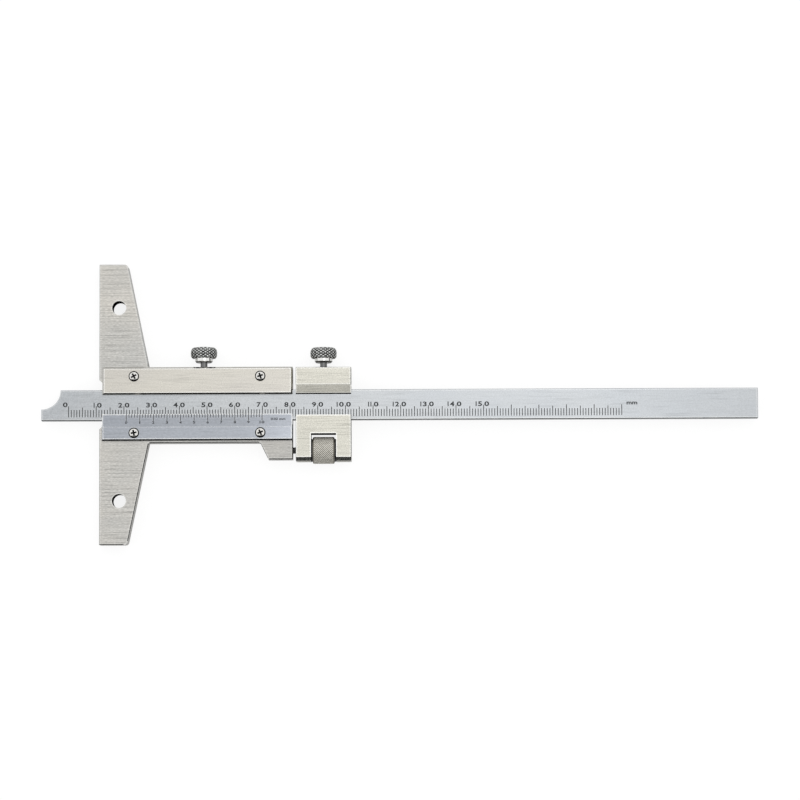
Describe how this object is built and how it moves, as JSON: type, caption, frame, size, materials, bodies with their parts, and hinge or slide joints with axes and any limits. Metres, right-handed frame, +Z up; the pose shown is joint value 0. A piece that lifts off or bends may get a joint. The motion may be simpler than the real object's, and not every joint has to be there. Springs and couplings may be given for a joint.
{
  "type": "vernier depth gauge",
  "caption": "Vernier depth gauge: tapered measuring base and slider on a graduated blade, with clamp screws and a fine-adjustment carriage.",
  "frame": {"origin": "where the plane of the base's datum face, the blade's centre line and the flat back meet", "axes": "+X along the blade, away from the datum face; +Y across the blade towards the clamp knobs; +Z up, out of the graduated front"},
  "size_m": [0.2592, 0.1016, 0.01],
  "materials": {
    "ground_steel": "surface-ground stainless steel, fine grain along the blade",
    "satin_plate": "satin chrome, faintly warm",
    "scale_steel": "satin chrome, faintly blue, with black engraved lines",
    "satin_carriage": "satin chrome, cream tone",
    "polished_steel": "polished",
    "knurled_steel": "dark, diamond-knurled",
    "nut_steel": "fine-knurled satin steel",
    "dark_steel": "oiled dark steel",
    "gib_bronze": "spring bronze, machined"
  },
  "bodies": {
    "slider": {"slider_body": "ground_steel", "cover_plate": "satin_plate", "vernier_plate": "scale_steel", "cover_plate_screw_left": "polished_steel", "cover_plate_screw_right": "polished_steel", "vernier_plate_screw_left": "polished_steel", "vernier_plate_screw_right": "polished_steel", "gib_set_screw_left": "dark_steel", "gib_set_screw_right": "dark_steel", "feed_screw": "dark_steel", "feed_screw_lock": "dark_steel"},
    "blade": {"blade": "scale_steel"},
    "gib": {"slider_gib": "gib_bronze"},
    "clamp": {"slider_clamp_screw": "polished_steel", "slider_clamp_knob": "knurled_steel"},
    "carriage": {"carriage_body": "satin_carriage"},
    "carriage_gib": {"carriage_gib": "gib_bronze"},
    "carriage_clamp": {"carriage_clamp_screw": "polished_steel", "carriage_clamp_knob": "knurled_steel"},
    "nut": {"adjusting_nut": "nut_steel"}
  },
  "joints": [
    {"name": "blade_slide", "type": "slide", "parent": "slider", "child": "blade", "axis": [-1, 0, 0], "range_m": [-0.0209, 0.1291]},
    {"name": "gib_press", "type": "slide", "parent": "slider", "child": "gib", "axis": [0, 1, 0], "range_m": [-0.00012, 0.00012]},
    {"name": "clamp_turn", "type": "hinge", "parent": "gib", "child": "clamp", "pos_m": [0.0377, 0, 0.00507], "axis": [0, 1, 0], "range_deg": [-96, 96]},
    {"name": "carriage_slide", "type": "slide", "parent": "slider", "child": "carriage", "axis": [1, 0, 0], "range_m": [-0.0009, 0.0045]},
    {"name": "nut_turn", "type": "hinge", "parent": "carriage", "child": "nut", "pos_m": [0.081, -0.0165, 0.00507], "axis": [1, 0, 0], "range_deg": [-720, 3600]},
    {"name": "carriage_gib_press", "type": "slide", "parent": "carriage", "child": "carriage_gib", "axis": [0, 1, 0], "range_m": [-0.00012, 0.0003]},
    {"name": "carriage_clamp_turn", "type": "hinge", "parent": "carriage_gib", "child": "carriage_clamp", "pos_m": [0.081, 0, 0.00507], "axis": [0, 1, 0], "range_deg": [-96, 240]}
  ],
  "couplings": [
    {"joint": "clamp_turn", "follows": "gib_press", "rad_per_m": 13963},
    {"joint": "carriage_clamp_turn", "follows": "carriage_gib_press", "rad_per_m": 13963},
    {"joint": "nut_turn", "follows": "carriage_slide", "rad_per_m": 13963}
  ]
}
